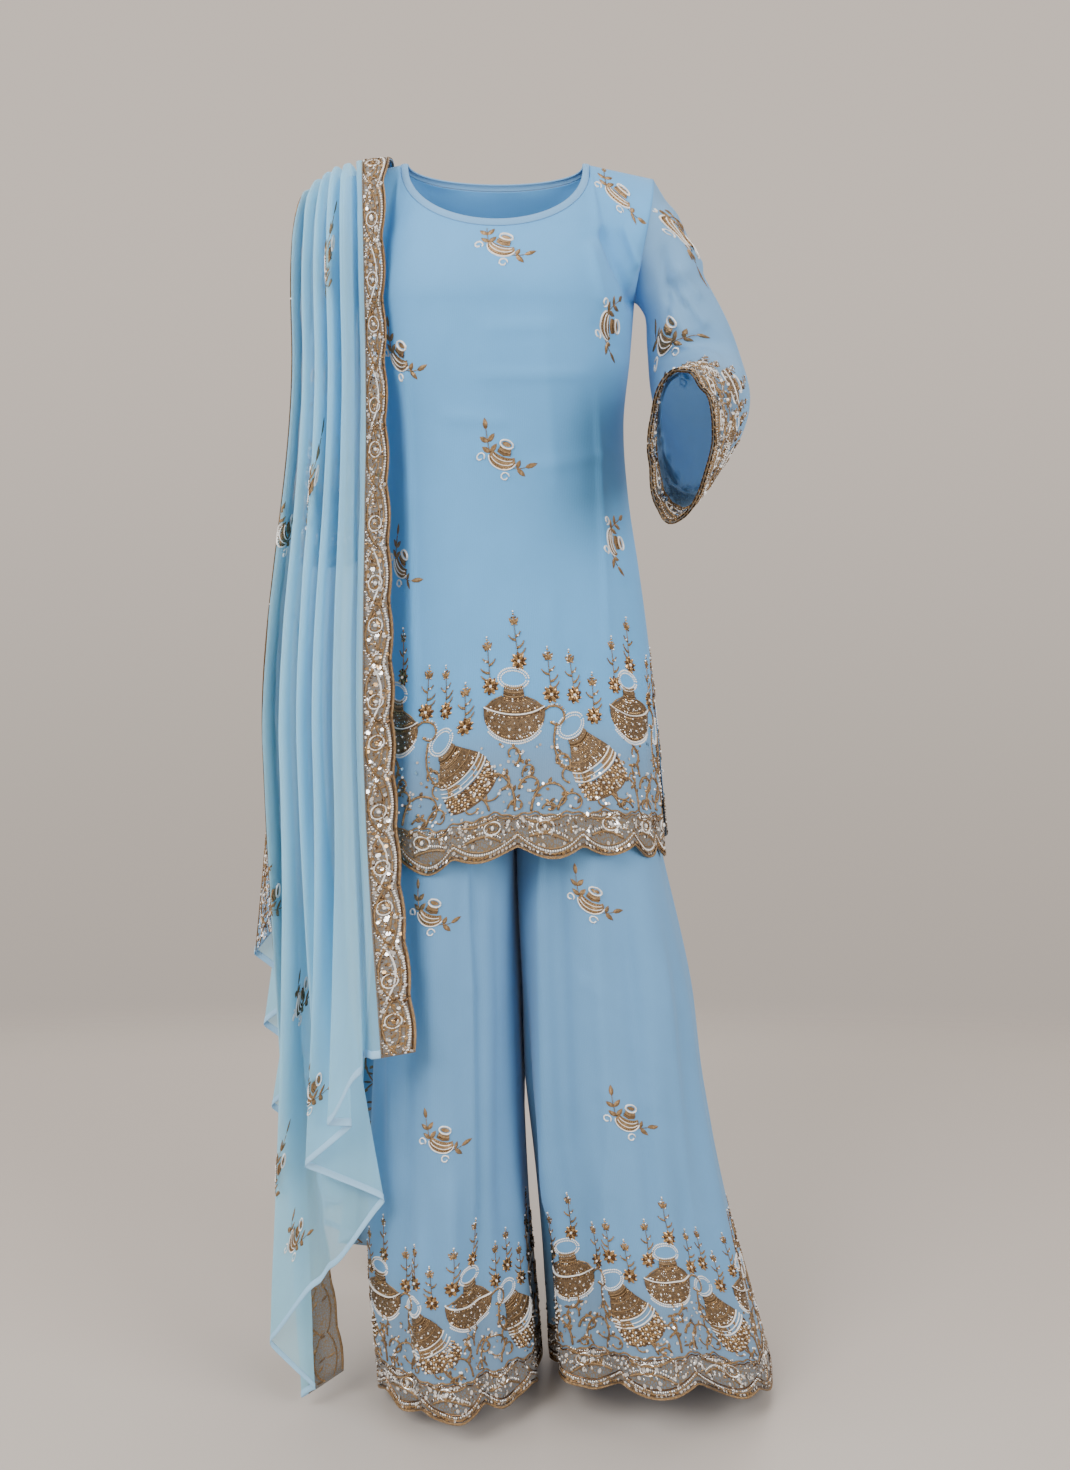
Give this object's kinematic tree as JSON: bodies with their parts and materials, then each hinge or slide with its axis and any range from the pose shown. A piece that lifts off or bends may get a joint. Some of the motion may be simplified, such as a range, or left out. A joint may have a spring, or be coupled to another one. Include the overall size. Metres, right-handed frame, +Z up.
{
  "type": "salwar kameez suit",
  "caption": "Salwar kameez suit: a straight tunic with scooped neck, side slits and flared sleeves, wide trousers with scalloped hems, and a long scarf pleated over the right shoulder.",
  "frame": {"origin": "between the tops of the shoulders, where the wearer's shoulders carry the suit", "axes": "+Z up, the wearer faces -Y, +X is the wearer's left"},
  "size_m": [0.6325, 0.3636, 1.4233],
  "materials": {
    "tunic_cloth": "lined pale blue georgette, matt, with gold, pearl and silver bead embroidery",
    "sleeve_cloth": "sheer pale blue georgette with bead embroidery",
    "binding": "narrow bias binding of the same georgette",
    "waistband_cloth": "plain lined georgette",
    "trouser_cloth": "lined pale blue georgette with bead embroidery over the hems",
    "scarf_cloth": "sheer pale blue georgette",
    "scarf_border": "georgette covered with antique gold and silver bead embroidery"
  },
  "bodies": {
    "root": {"kameez_front": "tunic_cloth", "kameez_back": "tunic_cloth", "sleeve_left": "sleeve_cloth", "sleeve_right": "sleeve_cloth", "neck_binding": "binding", "waistband": "waistband_cloth", "trouser_left_front": "trouser_cloth", "trouser_left_back": "trouser_cloth", "trouser_right_front": "trouser_cloth", "trouser_right_back": "trouser_cloth", "dupatta_front": "scarf_cloth", "dupatta_back": "scarf_cloth", "dupatta_border_front": "scarf_border", "dupatta_border_back": "scarf_border", "dupatta_outer_border_front": "scarf_border", "dupatta_outer_border_back": "scarf_border"}
  },
  "joints": []
}
